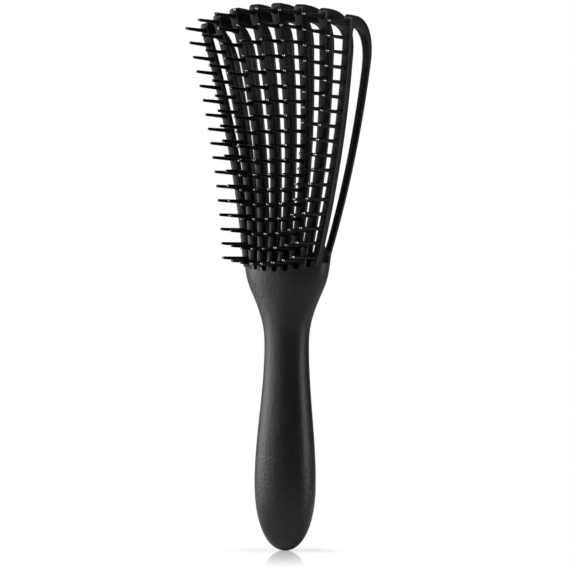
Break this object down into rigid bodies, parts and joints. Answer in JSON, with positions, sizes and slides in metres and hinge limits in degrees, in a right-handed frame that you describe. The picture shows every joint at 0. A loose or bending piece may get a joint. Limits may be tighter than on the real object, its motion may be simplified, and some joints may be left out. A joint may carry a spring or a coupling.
{
  "type": "detangling brush",
  "caption": "Upright detangling hair brush: a waisted two-shell handle and a fan of flexible looped ribs, each carrying a straight file of slim round-tipped pins that part and comb hair.",
  "frame": {"origin": "butt end of the handle, on the handle's axis", "axes": "+Z along the handle towards the head, -Y the way the pins point, +X across the rows"},
  "size_m": [0.0784, 0.0469, 0.2371],
  "materials": {
    "handle": "fine soft-touch grain, black",
    "anchor": "as moulded, hidden",
    "rows": "satin black",
    "pins": "satin black with polished round tips"
  },
  "bodies": {
    "handle": {"handle_front_shell": "handle", "handle_back_shell": "handle", "rib_anchor": "anchor"},
    "row_1": {"row_1_rib": "rows", "row_1_pins": "pins", "row_1_back_strap": "rows"},
    "row_2": {"row_2_rib": "rows", "row_2_pins": "pins", "row_2_back_strap": "rows"},
    "row_3": {"row_3_rib": "rows", "row_3_pins": "pins", "row_3_back_strap": "rows"},
    "row_4": {"row_4_rib": "rows", "row_4_pins": "pins", "row_4_back_strap": "rows"},
    "row_5": {"row_5_rib": "rows", "row_5_pins": "pins", "row_5_back_strap": "rows"},
    "row_6": {"row_6_rib": "rows", "row_6_pins": "pins", "row_6_back_strap": "rows"},
    "row_7": {"row_7_rib": "rows", "row_7_pins": "pins", "row_7_back_strap": "rows"},
    "row_8": {"row_8_rib": "rows", "row_8_pins": "pins", "row_8_back_strap": "rows"}
  },
  "joints": [
    {"name": "row_1_flex", "type": "hinge", "parent": "handle", "child": "row_1", "pos_m": [-0.0172, -0.00084, 0.1227], "axis": [-0.9831, 0, -0.183], "range_deg": [-2, 5], "stiffness_Nm_per_rad": 1.5},
    {"name": "row_2_flex", "type": "hinge", "parent": "handle", "child": "row_2", "pos_m": [-0.01265, -0.00331, 0.12133], "axis": [-0.9914, 0, -0.1305], "range_deg": [-2, 5], "stiffness_Nm_per_rad": 1.5},
    {"name": "row_3_flex", "type": "hinge", "parent": "handle", "child": "row_3", "pos_m": [-0.00773, -0.00467, 0.12041], "axis": [-0.9969, 0, -0.0783], "range_deg": [-2, 5], "stiffness_Nm_per_rad": 1.5},
    {"name": "row_4_flex", "type": "hinge", "parent": "handle", "child": "row_4", "pos_m": [-0.0026, -0.00524, 0.11996], "axis": [-0.9997, 0, -0.0261], "range_deg": [-2, 5], "stiffness_Nm_per_rad": 1.5},
    {"name": "row_5_flex", "type": "hinge", "parent": "handle", "child": "row_5", "pos_m": [0.0026, -0.00524, 0.11996], "axis": [-0.9997, 0, 0.0261], "range_deg": [-2, 5], "stiffness_Nm_per_rad": 1.5},
    {"name": "row_6_flex", "type": "hinge", "parent": "handle", "child": "row_6", "pos_m": [0.00773, -0.00467, 0.12041], "axis": [-0.9969, 0, 0.0783], "range_deg": [-2, 5], "stiffness_Nm_per_rad": 1.5},
    {"name": "row_7_flex", "type": "hinge", "parent": "handle", "child": "row_7", "pos_m": [0.01265, -0.00331, 0.12133], "axis": [-0.9914, 0, 0.1305], "range_deg": [-2, 5], "stiffness_Nm_per_rad": 1.5},
    {"name": "row_8_flex", "type": "hinge", "parent": "handle", "child": "row_8", "pos_m": [0.0172, -0.00084, 0.1227], "axis": [-0.9831, 0, 0.183], "range_deg": [-2, 5], "stiffness_Nm_per_rad": 1.5}
  ]
}
